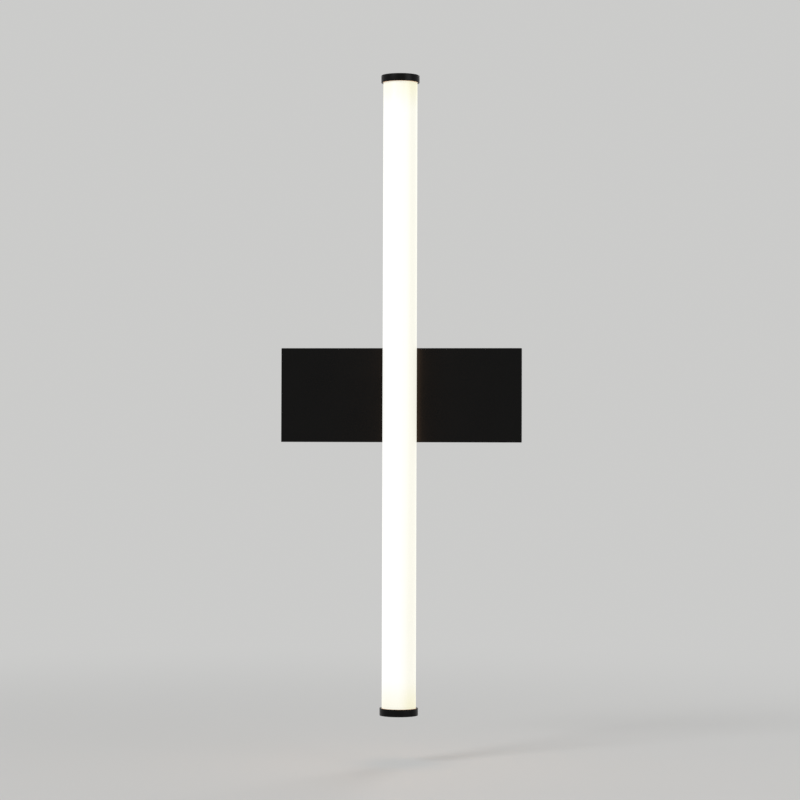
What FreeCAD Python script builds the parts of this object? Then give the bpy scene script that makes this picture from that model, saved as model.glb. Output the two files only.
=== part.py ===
# Tube wall light: a lit opal tube that swivels on a flat wall box.
# +Z is up, the wall is the plane y = 0 and the lamp stands out from it toward -Y.
# The origin is the middle of the wall bracket on the wall. Distances named "off" are
# measured out from the wall, so a point at distance d lies at y = -d. Sizes in mm.
import FreeCAD, Part
import math
import os
import re
import Sketcher

SIZES = {
    # wide shallow front cover and the narrower box behind it
    "cover_width": 228, "cover_height": 89, "cover_off": 42, "cover_depth": 6, "sheet": 1.5,
    "overhang_side": 11.5, "overhang_top": 7, "box_start": 0.5,
    # studs that hold the cover on the box
    "stud_inset": 9.5, "stud_gap": 1.5, "stud_radius": 1.5, "stud_length": 7,
    "stud_nut": 5.5, "stud_nut_tall": 2.4,
    # wall bracket
    "plate_sheet": 2, "plate_height": 50, "lug_depth": 18, "lug_height": 24, "lug_gap": 0.3,
    "mount_spacing": 150, "mount_slot": 10, "mount_radius": 2.5, "cable_radius": 10,
    "grommet_rim": 2, "grommet_bore": 5, "grommet_lip": 1.5,
    # screws through the ends of the box
    "side_off": 10, "side_radius": 2, "side_head": 4, "side_head_tall": 2.6, "side_length": 7,
    # lit tube
    "tube_gap": 2, "tube_radius": 16, "tube_wall": 2, "lamp_height": 600,
    "cap_wall": 2, "cap_depth": 7, "cap_floor": 2.5, "cap_edge": 0.5, "seal_thick": 0.5,
    "cap_screw_radius": 2, "cap_screw_head": 3.75, "cap_screw_length": 12,
    # inner profile and light strips
    "core_width": 14, "core_wall": 1.5, "core_end": 8, "strip_width": 10, "strip_thick": 0.8,
    "strip_end": 15, "bead_radius": 1.5, "bead_end": 2, "plug_collar": 3, "plug_spigot": 12,
    # saddle between tube and pivot
    "saddle_width": 24, "saddle_rim": 5, "neck_width": 12, "neck_rim": 1.7, "neck_gap": 2,
    "face_gap": 0.4, "saddle_screw_radius": 1.5, "saddle_screw_head": 2.8, "saddle_sink": 2.5,
    "thread_depth": 6,
    # pivot
    "pivot_radius": 5, "pivot_bore": 3.5, "pivot_tail": 3.3, "bush_wall": 2, "bush_flange": 10.5,
    "bush_lip": 2, "pivot_fit": 0.05, "spring_radius": 9.5, "spring_thick": 0.6, "spring_rise": 0.5,
    "stop_radius": 9.5, "stop_thick": 1.5, "stop_tab": 3, "pin_step": 4.5, "pin_radius": 1.5,
    "pin_length": 5.5, "lock_radius": 8.5, "lock_thick": 0.8, "notch_radius": 0.8,
    "nut_width": 14, "nut_tall": 4, "sleeve_wall": 0.8, "sleeve_lip": 1.5, "sleeve_deep": 5,
    # driver
    "driver_length": 140, "driver_depth": 18, "driver_gap": 1, "bush_gap": 0.5,
    "driver_wall": 1.2, "driver_ear": 8, "driver_screw": 1.5, "driver_screw_tall": 2,
    "board_thick": 1.5, "board_rise": 2, "part_tall": 10,
    # terminal block and earth screw
    "earth_inset": 16.7, "earth_z": 14, "earth_screw_tall": 9, "ring_thick": 0.8,
    "earth_nut_width": 7, "earth_nut_tall": 3.2, "block_step": 34, "block_z": 12,
    "block_width": 32, "block_height": 20, "block_depth": 17, "pole_pitch": 10, "pole_row": 5,
    "pole_screw": 1.8, "pole_screw_tall": 6, "well_depth": 8, "entry_rise": 6,
    # leads
    "lead_radius": 0.9, "lead_pair": 1.3, "mains_radius": 1.1, "lead_loop": 10, "lead_rise": 30,
    # clearances
    "slip": 0.05, "hole_gap": 0.25, "rub_gap": 0.3,
}

# sizes that follow from the ones above; "off" values are distances from the wall
DERIVED = {
    "box_width": "cover_width - 2 * overhang_side",
    "box_height": "cover_height - 2 * overhang_top",
    "box_front": "cover_off - sheet",
    "box_inside": "cover_off - 2 * sheet",
    "lug_face": "box_width / 2 - sheet - lug_gap",
    "stud_x": "driver_length / 2 + driver_ear + stud_nut + stud_gap",
    "stud_z": "box_height / 2 - stud_inset",
    "earth_x": "earth_inset - lug_face",
    "block_x": "earth_x + block_step",
    "block_low": "block_z - block_height / 2",
    "block_top": "plate_sheet + block_depth",
    "entry_off": "plate_sheet + entry_rise",
    "driver_height": "box_height / 2 - sheet - driver_gap - bush_flange - bush_gap",
    "driver_z": "-(bush_flange + bush_gap + driver_height / 2)",
    "driver_start": "box_inside - driver_depth",
    "driver_middle": "box_inside - driver_depth / 2",
    "board_back": "box_inside - driver_wall - board_rise - board_thick",
    "bush_radius": "pivot_radius + bush_wall",
    "bush_back": "box_inside - bush_lip",
    "spring_face": "bush_back - rub_gap",
    "spring_back": "spring_face - spring_thick - spring_rise",
    "stop_back": "spring_back - stop_thick",
    "lock_back": "stop_back - lock_thick",
    "pivot_end": "lock_back - nut_tall - pivot_tail",
    "pin_circle": "stop_radius + pin_step",
    "pin_drop": "stop_tab + pin_radius + rub_gap",
    "pin_across": "sqrt(pin_circle ^ 2 - pin_drop ^ 2)",
    "stop_reach": "pin_circle + 2 * pin_radius",
    "tube_off": "cover_off + tube_gap + tube_radius",
    "cap_radius": "tube_radius + cap_wall",
    "cap_inside": "lamp_height / 2 - cap_floor",
    "tube_top": "cap_inside - seal_thick",
    "core_back": "tube_off - core_width / 2",
    "core_top": "lamp_height / 2 - core_end",
    "core_bore": "core_width - 2 * core_wall",
    "strip_top": "lamp_height / 2 - strip_end",
    "saddle_start": "cover_off + face_gap",
    "saddle_screw_z": "pivot_radius + saddle_screw_head + saddle_screw_radius / 2",
    "neck_height": "2 * (saddle_screw_z + saddle_screw_head + neck_rim)",
    "saddle_height": "neck_height + 2 * saddle_rim",
    "strip_start": "neck_height / 2 + neck_gap",
}

V = FreeCAD.Vector
OUTWARD = FreeCAD.Rotation(V(1, 0, 0), 90)
INWARD = FreeCAD.Rotation(V(1, 0, 0), -90)
UPWARD = FreeCAD.Rotation()
DOWNWARD = FreeCAD.Rotation(V(1, 0, 0), 180)
TO_RIGHT = FreeCAD.Rotation(V(0, 1, 0), 90)
TO_LEFT = FreeCAD.Rotation(V(0, 1, 0), -90)

doc = FreeCAD.newDocument("tube_wall_light")
sheet = doc.addObject("Spreadsheet::Sheet", "sizes")
cells = {alias: str(number) for alias, number in SIZES.items()}
cells.update({alias: "=" + text for alias, text in DERIVED.items()})
for row, (alias, content) in enumerate(cells.items(), start=1):
    sheet.set(f"A{row}", alias)
    sheet.setAlias(f"B{row}", alias)
for row, content in enumerate(cells.values(), start=1):
    sheet.set(f"B{row}", content)
doc.recompute()
at = sheet.get
nodes = []


def formula(text):
    """Expression text with every size name pointing into the sheet."""
    return re.sub(r"[a-z_]+", lambda word: "sizes." + word.group() if word.group() in cells else word.group(),
                  str(text))


def bind(item, **links):
    """Bind properties of an object to formulas of the named sizes."""
    for prop, text in links.items():
        item.setExpression(prop, formula(text))


def place(item, x, off, z, turn=UPWARD):
    """Put an object at x, distance off from the wall and height z."""
    item.Placement = FreeCAD.Placement(V(0, 0, 0), turn)
    item.setExpression("Placement.Base.x", formula(x))
    item.setExpression("Placement.Base.y", formula(f"-({off})"))
    item.setExpression("Placement.Base.z", formula(z))


def keep(item, label):
    """Name a finished object as a node that is written out."""
    item.Label = label
    nodes.append(item)
    return item


# ---- sketched bodies -------------------------------------------------------------------

def new_body(label):
    return keep(doc.addObject("PartDesign::Body", label + "_body"), label)


def new_sketch(body, role="XZ_Plane", off=0):
    """Sketch on a main plane of the body; on XZ the offset is the distance out from the wall."""
    sketch = body.newObject("Sketcher::SketchObject", "sketch")
    plane = next(item for item in body.Origin.OriginFeatures if item.Role == role)
    sketch.AttachmentSupport = (plane, "")
    sketch.MapMode = "FlatFace"
    sketch.setExpression("AttachmentOffset.Base.z", formula(off))
    return sketch


def fix(sketch, constraint, text):
    """Add one dimension whose value is a formula."""
    sketch.setExpression(f"Constraints[{sketch.addConstraint(constraint)}]", formula(text))


def fix_point(sketch, geometry, corner, x, y):
    now = sketch.getPoint(geometry, corner)
    fix(sketch, Sketcher.Constraint("DistanceX", -1, 1, geometry, corner, now.x), x)
    fix(sketch, Sketcher.Constraint("DistanceY", -1, 1, geometry, corner, now.y), y)


def fix_radius(sketch, geometry, radius):
    fix(sketch, Sketcher.Constraint("Radius", geometry, sketch.Geometry[geometry].Radius), radius)


def draw_polygon(sketch, points):
    first = sketch.GeometryCount
    count = len(points)
    start = [V(math.cos(2 * math.pi * i / count), math.sin(2 * math.pi * i / count), 0) for i in range(count)]
    for i in range(count):
        sketch.addGeometry(Part.LineSegment(start[i], start[(i + 1) % count]), False)
    for i in range(count):
        sketch.addConstraint(Sketcher.Constraint("Coincident", first + i, 2, first + (i + 1) % count, 1))
    for i, (x, y) in enumerate(points):
        fix_point(sketch, first + i, 1, x, y)


def draw_rectangle(sketch, x, y, width, height):
    """Rectangle with its middle at x, y."""
    left, right = f"({x}) - ({width}) / 2", f"({x}) + ({width}) / 2"
    low, high = f"({y}) - ({height}) / 2", f"({y}) + ({height}) / 2"
    draw_polygon(sketch, [(left, low), (right, low), (right, high), (left, high)])


def draw_circle(sketch, x, y, radius):
    circle = sketch.addGeometry(Part.Circle(V(0, 0, 0), V(0, 0, 1), 1), False)
    fix_radius(sketch, circle, radius)
    fix_point(sketch, circle, 3, x, y)


def draw_slot(sketch, x, y, length, radius, upright=False):
    """Round-ended slot whose arc middles are a length apart."""
    turn = math.pi / 2 if upright else 0
    arcs = []
    for side in (-1, 1):
        middle = V(0, side, 0) if upright else V(side, 0, 0)
        begin = turn - side * math.pi / 2
        circle = Part.Circle(middle, V(0, 0, 1), 0.5)
        arcs.append(sketch.addGeometry(Part.ArcOfCircle(circle, begin, begin + math.pi), False))
    for one, other in (arcs, arcs[::-1]):
        line = sketch.addGeometry(Part.LineSegment(sketch.getPoint(one, 2), sketch.getPoint(other, 1)), False)
        sketch.addConstraint(Sketcher.Constraint("Tangent", one, 2, line, 1))
        sketch.addConstraint(Sketcher.Constraint("Tangent", line, 2, other, 1))
    sketch.addConstraint(Sketcher.Constraint("Equal", *arcs))
    fix_radius(sketch, arcs[0], radius)
    for side, arc in zip((-1, 1), arcs):
        shift = f"+ {side} * ({length}) / 2"
        fix_point(sketch, arc, 3, x if upright else f"({x}) {shift}", f"({y}) {shift}" if upright else y)


def pad(body, sketch, length):
    """Grow the sketch away from its plane (away from the wall on XZ, up on XY)."""
    feature = body.newObject("PartDesign::Pad", "pad")
    feature.Profile = sketch
    bind(feature, Length=length)
    return feature


def pocket(body, sketch, length):
    """Cut the sketch back behind its plane (toward the wall on XZ, down on XY)."""
    feature = body.newObject("PartDesign::Pocket", "pocket")
    feature.Profile = sketch
    bind(feature, Length=length)
    return feature


def pad_rectangle(body, start, end, x, z, width, height):
    sketch = new_sketch(body, off=start)
    draw_rectangle(sketch, x, z, width, height)
    return pad(body, sketch, f"({end}) - ({start})")


def cut_rectangle(body, start, end, x, z, width, height):
    sketch = new_sketch(body, off=end)
    draw_rectangle(sketch, x, z, width, height)
    return pocket(body, sketch, f"({end}) - ({start})")


def cut_circles(body, start, end, circles):
    """Round holes between two distances off the wall, each as x, z, radius."""
    sketch = new_sketch(body, off=end)
    for x, z, radius in circles:
        draw_circle(sketch, x, z, radius)
    return pocket(body, sketch, f"({end}) - ({start})")


def turned(label, points, role):
    """Body turned about the axis of its sketch: points are radius and place on that axis."""
    body = new_body(label)
    sketch = new_sketch(body, role)
    draw_polygon(sketch, points)
    feature = body.newObject("PartDesign::Revolution", "turning")
    feature.Profile = sketch
    feature.ReferenceAxis = (sketch, ["V_Axis"])
    feature.Angle = 360
    return body


def turned_on_pivot(label, points):
    """Turned about the pivot axis: points are radius and distance off the wall."""
    return turned(label, [(radius, f"-({off})") for radius, off in points], "XY_Plane")


def turned_on_tube(label, points):
    """Turned about the upright axis of the tube: points are radius and height."""
    body = turned(label, points, "XZ_Plane")
    place(body, 0, "tube_off", 0)
    return body


# ---- simple solids ---------------------------------------------------------------------

def cylinder(radius, height, x, off, z, turn=UPWARD):
    item = doc.addObject("Part::Cylinder", "round")
    bind(item, Radius=radius, Height=height)
    place(item, x, off, z, turn)
    return item


def cone(radius, end_radius, height, x, off, z, turn=UPWARD):
    item = doc.addObject("Part::Cone", "cone")
    bind(item, Radius1=radius, Radius2=end_radius, Height=height)
    place(item, x, off, z, turn)
    return item


def block(x, off, z, width, depth, height):
    """Box by its middle in x and z, from distance off outward by its depth."""
    item = doc.addObject("Part::Box", "block")
    bind(item, Length=width, Width=depth, Height=height)
    place(item, f"({x}) - ({width}) / 2", f"({off}) + ({depth})", f"({z}) - ({height}) / 2")
    return item


def prism(across, height, x, off, z, turn=OUTWARD):
    """Hexagon bar by its width across flats."""
    item = doc.addObject("Part::Prism", "hexagon")
    item.Polygon = 6
    bind(item, Circumradius=f"({across}) / 2 / cos(30)", Height=height)
    place(item, x, off, z, turn)
    return item


def join(*items):
    item = doc.addObject("Part::MultiFuse", "joined")
    item.Shapes = list(items)
    return item


def cut(base, *tools):
    item = doc.addObject("Part::Cut", "cut")
    item.Base = base
    item.Tool = tools[0] if len(tools) == 1 else join(*tools)
    return item


def group(label, items):
    """Several equal solids under one node."""
    item = doc.addObject("Part::Compound", "group")
    item.Links = items
    return keep(item, label)


def mirrored_x(text, side):
    return text if side > 0 else f"-({text})"


# ---- wall bracket ----------------------------------------------------------------------

def make_wall_bracket():
    body = new_body("wall_bracket")
    pad_rectangle(body, 0, "plate_sheet", 0, 0, "2 * lug_face", "plate_height")
    for side in (-1, 1):
        middle = mirrored_x("lug_face - plate_sheet / 2", side)
        pad_rectangle(body, "plate_sheet / 2", "lug_depth", middle, 0, "plate_sheet", "lug_height")
    slots = new_sketch(body, off="plate_sheet")
    for side in (-1, 1):
        draw_slot(slots, f"{side} * mount_spacing / 2", 0, "mount_slot", "mount_radius")
    pocket(body, slots, "plate_sheet")
    holes = [(0, 0, "cable_radius"), ("earth_x", "earth_z", "side_radius + slip")]
    cut_circles(body, 0, "plate_sheet", holes)
    threads = new_sketch(body, "YZ_Plane", off="lug_face")
    draw_circle(threads, "-side_off", 0, "side_radius + slip")
    pocket(body, threads, "2 * lug_face")


def make_cable_grommet():
    turned_on_pivot("cable_grommet", [
        ("grommet_bore", "hole_gap"), ("cable_radius - slip", "hole_gap"),
        ("cable_radius - slip", "plate_sheet"), ("cable_radius + grommet_rim", "plate_sheet"),
        ("cable_radius + grommet_rim", "plate_sheet + grommet_lip"),
        ("grommet_bore", "plate_sheet + grommet_lip")])


# ---- box and cover ---------------------------------------------------------------------

def pin_places():
    """The two stop pins stand a tab's half width and a gap past a quarter turn each way."""
    return [(mirrored_x("pin_across", side), "-pin_drop") for side in (-1, 1)]


def stud_places():
    return [(f"{sx} * stud_x", f"{sz} * stud_z") for sx in (-1, 1) for sz in (-1, 1)]


def driver_screw_places():
    reach = "driver_length / 2 + driver_ear / 2"
    return [(mirrored_x(reach, side), "driver_z") for side in (-1, 1)]


def make_back_box():
    body = new_body("back_box")
    pad_rectangle(body, "box_start", "box_front", 0, 0, "box_width", "box_height")
    cut_rectangle(body, "box_start", "box_inside", 0, 0, "box_width - 2 * sheet", "box_height - 2 * sheet")
    holes = [(0, 0, "bush_radius + slip")]
    holes += [(x, z, "stud_radius + hole_gap") for x, z in stud_places()]
    holes += [(x, z, "driver_screw + slip") for x, z in driver_screw_places()]
    holes += [(x, z, "pin_radius + slip") for x, z in pin_places()]
    cut_circles(body, "box_inside", "box_front", holes)
    ends = new_sketch(body, "YZ_Plane", off="box_width / 2")
    draw_circle(ends, "-side_off", 0, "side_radius + hole_gap")
    pocket(body, ends, "box_width")


def make_front_cover():
    body = new_body("front_cover")
    pad_rectangle(body, "cover_off - cover_depth", "cover_off", 0, 0, "cover_width", "cover_height")
    cut_rectangle(body, "cover_off - cover_depth", "box_front", 0, 0,
                  "cover_width - 2 * sheet", "cover_height - 2 * sheet")
    cut_circles(body, "box_front", "cover_off", [(0, 0, "bush_radius + slip")])


def make_cover_studs():
    group("cover_studs", [
        cylinder("stud_radius", "stud_length", x, "box_front", z, INWARD) for x, z in stud_places()])


def make_cover_nuts():
    group("cover_nuts", [
        cut(prism("stud_nut", "stud_nut_tall", x, "box_inside", z, INWARD),
            cylinder("stud_radius + slip", "stud_nut_tall", x, "box_inside", z, INWARD))
        for x, z in stud_places()])


def make_box_screws():
    screws = []
    for side, turn in ((-1, TO_LEFT), (1, TO_RIGHT)):
        face = mirrored_x("box_width / 2", side)
        tip = mirrored_x("box_width / 2 - side_length", side)
        top = mirrored_x("box_width / 2 + side_head_tall", side)
        head = cylinder("side_head", "side_head_tall", face, "side_off", 0, turn)
        shank = cylinder("side_radius", "side_length", tip, "side_off", 0, turn)
        slot = block(top, "side_off - side_head", 0, "side_head_tall", "2 * side_head", "side_head / 4")
        screws.append(cut(join(head, shank), slot))
    group("box_screws", screws)


# ---- driver in the box -----------------------------------------------------------------

def make_driver_case():
    body = new_body("driver_case")
    ears = "driver_length + 2 * driver_ear"
    pad_rectangle(body, "box_inside - driver_wall", "box_inside", 0, "driver_z", ears, "driver_height")
    pad_rectangle(body, "driver_start", "box_inside - driver_wall / 2", 0, "driver_z",
                  "driver_length", "driver_height")
    cut_rectangle(body, "driver_start", "box_inside - driver_wall", 0, "driver_z",
                  "driver_length - 2 * driver_wall", "driver_height - 2 * driver_wall")
    holes = [(x, z, "driver_screw + hole_gap") for x, z in driver_screw_places()]
    cut_circles(body, "box_inside - driver_wall", "box_inside", holes)
    ends = new_sketch(body, "YZ_Plane", off="driver_length / 2")
    for side in (-1, 1):
        draw_circle(ends, "-driver_middle", f"driver_z + {side} * driver_height / 8",
                    "mains_radius + 2 * hole_gap")
    pocket(body, ends, "driver_length")


def make_driver_lid():
    body = new_body("driver_lid")
    pad_rectangle(body, "driver_start - driver_wall", "driver_start", 0, "driver_z",
                  "driver_length", "driver_height")


def make_driver_board():
    body = new_body("driver_board")
    pad_rectangle(body, "board_back", "board_back + board_thick", 0, "driver_z",
                  "driver_length - 4 * driver_wall", "driver_height - 4 * driver_wall")


def make_driver_transformer():
    """Wound block between two core halves."""
    width = "driver_height * 0.6"
    core = block("driver_length / 28", "board_back - part_tall", "driver_z", width, "part_tall", width)
    winding = block("driver_length / 28", "board_back - part_tall * 0.9", "driver_z",
                    f"{width} * 1.2", "part_tall * 0.7", f"{width} * 0.8")
    keep(join(core, winding), "driver_transformer")


def make_driver_capacitors():
    group("driver_capacitors", [
        cylinder("driver_height / 6", "part_tall", f"{place_on_board} * driver_length", "board_back",
                 "driver_z", INWARD)
        for place_on_board in (-0.27, 0.3)])


def make_driver_screws():
    start = "(box_inside - driver_wall)"
    screws = []
    for x, z in driver_screw_places():
        head = cylinder("driver_screw * 1.9", "driver_screw_tall", x, start, z, INWARD)
        shank = cylinder("driver_screw", "driver_wall + sheet", x, start, z, OUTWARD)
        slot = block(x, f"{start} - driver_screw_tall", z, "4 * driver_screw",
                     "driver_screw_tall / 2", "driver_screw / 2")
        screws.append(cut(join(head, shank), slot))
    group("driver_screws", screws)


# ---- terminal block and earth ----------------------------------------------------------

def pole_places():
    return [f"block_x + {pole} * pole_pitch" for pole in (-1, 0, 1)]


def make_terminal_block():
    body = new_body("terminal_block")
    pad_rectangle(body, "plate_sheet", "block_top", "block_x", "block_z", "block_width", "block_height")
    wells = [(x, f"block_z + {row} * pole_row", "pole_screw + hole_gap")
             for x in pole_places() for row in (-1, 1)]
    cut_circles(body, "block_top - well_depth", "block_top", wells)
    entries = new_sketch(body, "XY_Plane", off="block_low + block_height")
    for x in pole_places():
        draw_circle(entries, x, "-entry_off", "mains_radius + 2 * hole_gap")
    pocket(body, entries, "block_height")


def make_terminal_screws():
    start = "block_top - well_depth + 2 * hole_gap"
    screws = []
    for x in pole_places():
        for row in (-1, 1):
            z = f"block_z + {row} * pole_row"
            shank = cylinder("pole_screw", "pole_screw_tall", x, start, z, OUTWARD)
            slot = block(x, f"{start} + pole_screw_tall * 0.8", z,
                         "4 * pole_screw", "pole_screw_tall / 4", "pole_screw / 3")
            screws.append(cut(shank, slot))
    group("terminal_screws", screws)


def make_earth_screw():
    shank = cylinder("side_radius", "earth_screw_tall", "earth_x", "hole_gap", "earth_z", OUTWARD)
    keep(shank, "earth_screw")


def make_earth_ring():
    eye = cylinder("2 * side_radius", "ring_thick", "earth_x", "plate_sheet", "earth_z", OUTWARD)
    barrel = block("earth_x + 3 * side_radius", "plate_sheet", "earth_z",
                   "4 * side_radius", "ring_thick", "1.2 * side_radius")
    hole = cylinder("side_radius + slip", "ring_thick", "earth_x", "plate_sheet", "earth_z", OUTWARD)
    keep(cut(join(eye, barrel), hole), "earth_ring")


def make_earth_nut():
    start = "plate_sheet + ring_thick"
    nut = prism("earth_nut_width", "earth_nut_tall", "earth_x", start, "earth_z")
    hole = cylinder("side_radius + slip", "earth_nut_tall", "earth_x", start, "earth_z", OUTWARD)
    keep(cut(nut, hole), "earth_nut")


# ---- pivot -----------------------------------------------------------------------------

def make_pivot_bushing():
    turned_on_pivot("pivot_bushing", [
        ("pivot_radius + pivot_fit", "bush_back"), ("bush_flange", "bush_back"),
        ("bush_flange", "box_inside"), ("bush_radius", "box_inside"),
        ("bush_radius", "cover_off"), ("pivot_radius + pivot_fit", "cover_off")])


def make_stop_pins():
    group("stop_pins", [
        cylinder("pin_radius", "pin_length + sheet", x, "box_front", z, INWARD) for x, z in pin_places()])


def make_pivot_nipple():
    end = "cover_off + face_gap + thread_depth - hole_gap"
    turned_on_pivot("pivot_nipple", [
        ("pivot_bore", "pivot_end"), ("pivot_radius", "pivot_end"),
        ("pivot_radius", end), ("pivot_bore", end)])


def make_disc_spring():
    turned_on_pivot("disc_spring", [
        ("pivot_radius + slip", "spring_back"), ("pivot_radius + slip", "spring_back + spring_thick"),
        ("spring_radius", "spring_face"), ("spring_radius", "spring_face - spring_thick")])


def make_stop_washer():
    body = new_body("stop_washer")
    disc = new_sketch(body, off="stop_back")
    draw_circle(disc, 0, 0, "stop_radius")
    pad(body, disc, "stop_thick")
    pad_rectangle(body, "stop_back", "spring_back", 0, "stop_reach / 2", "2 * stop_tab", "stop_reach")
    cut_circles(body, "stop_back", "spring_back", [(0, 0, "pivot_radius + slip")])


def make_lock_washer():
    ring = cylinder("lock_radius", "lock_thick", 0, "lock_back", 0, OUTWARD)
    hole = cylinder("pivot_radius + slip", "lock_thick", 0, "lock_back", 0, OUTWARD)
    notches = []
    for angle in range(18, 360, 36):
        notches.append(cylinder("notch_radius", "lock_thick", f"lock_radius * cos({angle})", "lock_back",
                                f"lock_radius * sin({angle})", OUTWARD))
    keep(cut(ring, hole, *notches), "lock_washer")


def make_pivot_nut():
    nut = prism("nut_width", "nut_tall", 0, "lock_back", 0, INWARD)
    hole = cylinder("pivot_radius + slip", "nut_tall", 0, "lock_back", 0, INWARD)
    keep(cut(nut, hole), "pivot_nut")


def make_lead_sleeve():
    turned_on_pivot("lead_sleeve", [
        ("pivot_bore - sleeve_wall", "pivot_end - sleeve_lip"), ("pivot_radius", "pivot_end - sleeve_lip"),
        ("pivot_radius", "pivot_end"), ("pivot_bore - slip", "pivot_end"),
        ("pivot_bore - slip", "pivot_end + sleeve_deep"),
        ("pivot_bore - sleeve_wall", "pivot_end + sleeve_deep")])


# ---- saddle and inner profile ----------------------------------------------------------

def saddle_screw_places():
    return [f"{side} * saddle_screw_z" for side in (-1, 1)]


def make_tube_saddle():
    """Block with a seat for the tube and a neck that reaches the profile inside it."""
    body = new_body("tube_saddle")
    pad_rectangle(body, "saddle_start", "tube_off - tube_radius * 0.66", 0, 0,
                  "saddle_width", "saddle_height")
    seat = new_sketch(body, "XY_Plane", off="saddle_height / 2")
    draw_circle(seat, 0, "-tube_off", "tube_radius + slip")
    pocket(body, seat, "saddle_height")
    neck = new_sketch(body, off="saddle_start")
    draw_slot(neck, 0, 0, "neck_height - neck_width", "neck_width / 2", upright=True)
    pad(body, neck, "core_back - saddle_start")
    cut_circles(body, "saddle_start", "saddle_start + thread_depth", [(0, 0, "pivot_radius + slip")])
    bores = [(0, 0, "pivot_bore")] + [(0, z, "saddle_screw_radius + slip") for z in saddle_screw_places()]
    cut_circles(body, "saddle_start", "core_back", bores)
    sinks = [(0, z, "saddle_screw_head + slip") for z in saddle_screw_places()]
    cut_circles(body, "saddle_start", "saddle_start + saddle_sink", sinks)


def make_saddle_screws():
    screws = []
    for z in saddle_screw_places():
        head_start = "saddle_start + hole_gap"
        seat = "(saddle_start + saddle_sink)"
        head = cylinder("saddle_screw_head", "saddle_sink - hole_gap", 0, head_start, z, OUTWARD)
        shank = cylinder("saddle_screw_radius", f"core_back + core_wall + 1 - {seat}", 0, seat, z, OUTWARD)
        drive = prism("saddle_screw_head", "saddle_sink / 2", 0, head_start, z)
        screws.append(cut(join(head, shank), drive))
    group("saddle_screws", screws)


def make_core_profile():
    body = new_body("core_profile")
    place(body, 0, "tube_off", 0)
    outline = new_sketch(body, "XY_Plane", off="-core_top")
    draw_rectangle(outline, 0, 0, "core_width", "core_width")
    draw_rectangle(outline, 0, 0, "core_bore", "core_bore")
    pad(body, outline, "2 * core_top")
    holes = new_sketch(body)
    draw_circle(holes, 0, 0, "pivot_bore")
    for z in saddle_screw_places():
        draw_circle(holes, 0, z, "saddle_screw_radius + slip")
    pocket(body, holes, "core_width")


def on_core(item, angle, across, lift, low):
    """Place a solid against the side of the profile that faces the given angle from the wall."""
    item.Placement = FreeCAD.Placement(V(0, 0, 0), FreeCAD.Rotation(V(0, 0, 1), angle))
    reach = f"(core_width / 2 + {lift})"
    right = f"cos({angle}) * ({across}) - sin({angle}) * {reach}"
    back = f"sin({angle}) * ({across}) + cos({angle}) * {reach} - tube_off"
    item.setExpression("Placement.Base.x", formula(right))
    item.setExpression("Placement.Base.y", formula(back))
    item.setExpression("Placement.Base.z", formula(low))


def strip_spans():
    """Every light strip: name, side of the profile, lower end and length."""
    whole = ("-strip_top", "2 * strip_top")
    short = "strip_top - strip_start"
    return [("front", 180, *whole), ("left", 90, *whole), ("right", 270, *whole),
            ("back_upper", 0, "strip_start", short), ("back_lower", 0, "-strip_top", short)]


def make_led_strips():
    for name, angle, low, length in strip_spans():
        board = doc.addObject("Part::Box", "board")
        bind(board, Length="strip_width", Width="strip_thick", Height=length)
        on_core(board, angle, "-strip_width / 2", 0, low)
        keep(board, "led_strip_" + name)


def make_led_beads():
    beads = []
    for name, angle, low, length in strip_spans():
        bead = doc.addObject("Part::Cylinder", "bead")
        bead.Angle = 180
        bind(bead, Radius="bead_radius", Height=f"{length} - 2 * bead_end")
        on_core(bead, angle, 0, "strip_thick", f"{low} + bead_end")
        beads.append(bead)
    group("led_beads", beads)


# ---- tube and its ends -----------------------------------------------------------------

def make_diffuser_tube():
    inner = "tube_radius - tube_wall"
    body = turned_on_tube("diffuser_tube", [
        (inner, "-tube_top"), ("tube_radius", "-tube_top"),
        ("tube_radius", "tube_top"), (inner, "tube_top")])
    slot = new_sketch(body)
    draw_slot(slot, 0, 0, "neck_height - neck_width", "neck_width / 2 + hole_gap", upright=True)
    pocket(body, slot, "tube_radius + 1")


def end_heights(side, points):
    """Profile of a piece at the top end, turned over for the bottom end."""
    return [(radius, z if side > 0 else f"-({z})") for radius, z in points]


def make_end_caps():
    top = "lamp_height / 2"
    for name, side in (("top", 1), ("bottom", -1)):
        turned_on_tube("end_cap_" + name, end_heights(side, [
            ("tube_radius + slip", f"{top} - cap_depth"), ("cap_radius", f"{top} - cap_depth"),
            ("cap_radius", f"{top} - cap_edge"), ("cap_radius - cap_edge", top),
            ("cap_screw_head + slip", top), ("cap_screw_radius + slip", f"{top} - cap_screw_head / 2"),
            ("cap_screw_radius + slip", "cap_inside"), ("tube_radius + slip", "cap_inside")]))


def make_cap_seals():
    seals = []
    for side in (-1, 1):
        low = "tube_top" if side > 0 else "-cap_inside"
        ring = cylinder("tube_radius", "seal_thick", 0, "tube_off", low)
        hole = cylinder("tube_radius - tube_wall", "seal_thick", 0, "tube_off", low)
        seals.append(cut(ring, hole))
    group("cap_seals", seals)


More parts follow.
